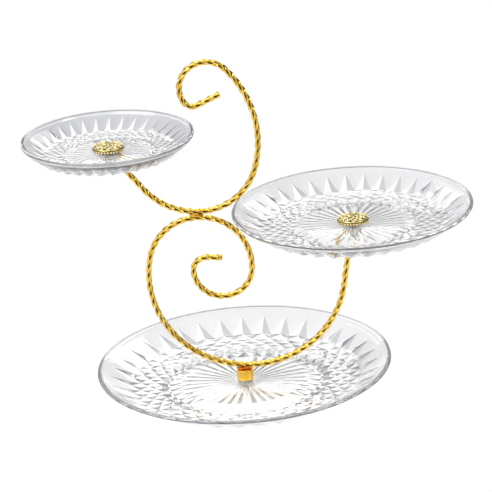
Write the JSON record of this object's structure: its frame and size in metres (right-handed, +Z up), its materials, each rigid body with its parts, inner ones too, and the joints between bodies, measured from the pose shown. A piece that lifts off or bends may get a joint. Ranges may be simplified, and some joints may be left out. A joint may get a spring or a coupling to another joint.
{
  "type": "tiered cake stand",
  "caption": "Cake stand with pressed-glass plates of falling size held at stepped heights on scrolls of twisted bar.",
  "frame": {"origin": "under the middle of the whole stand's box, on the surface that it stands on", "axes": "+X from the small top plate towards the middle plate, +Y to the back, +Z up; the scrolls lie in the plane y = 0"},
  "size_m": [0.452, 0.305, 0.3574],
  "materials": {
    "glass": "clear pressed glass, faceted underneath, smooth inside",
    "gold": "polished gold plating",
    "steel": "plated screw steel",
    "clear_rubber": "clear soft washer"
  },
  "bodies": {
    "base": {"base_plate": "glass", "base_upper_gasket": "clear_rubber", "base_lower_gasket": "clear_rubber"},
    "frame": {"lower_scroll": "gold", "upper_scroll": "gold", "scroll_weld_front": "gold", "scroll_weld_back": "gold", "base_boss": "gold", "boss_weld": "gold", "middle_seat": "steel", "middle_seat_weld": "gold", "middle_stud": "steel", "top_seat": "steel", "top_seat_weld": "gold", "top_stud": "steel"},
    "middle_tray": {"middle_plate": "glass", "middle_upper_gasket": "clear_rubber", "middle_lower_gasket": "clear_rubber"},
    "top_tray": {"top_plate": "glass", "top_upper_gasket": "clear_rubber", "top_lower_gasket": "clear_rubber"},
    "middle_nut": {"middle_cap": "gold"},
    "top_nut": {"top_cap": "gold"},
    "base_bolt": {"base_screw": "steel", "base_washer": "steel"}
  },
  "joints": [
    {"name": "frame_swivel", "type": "hinge", "parent": "base", "child": "frame", "pos_m": [-0.0175, 0, 0.01], "axis": [0, 0, 1], "continuous": true},
    {"name": "middle_plate_turn", "type": "hinge", "parent": "frame", "child": "middle_tray", "pos_m": [0.103, 0, 0.1745], "axis": [0, 0, 1], "continuous": true},
    {"name": "top_plate_turn", "type": "hinge", "parent": "frame", "child": "top_tray", "pos_m": [-0.1385, 0, 0.269], "axis": [0, 0, 1], "continuous": true},
    {"name": "middle_cap_unscrew", "type": "hinge", "parent": "frame", "child": "middle_nut", "pos_m": [0.103, 0, 0.178], "axis": [0, 0, 1], "continuous": true},
    {"name": "top_cap_unscrew", "type": "hinge", "parent": "frame", "child": "top_nut", "pos_m": [-0.1385, 0, 0.272], "axis": [0, 0, 1], "continuous": true},
    {"name": "base_screw_turn", "type": "hinge", "parent": "frame", "child": "base_bolt", "pos_m": [-0.0175, 0, 0.003], "axis": [0, 0, 1], "continuous": true}
  ]
}
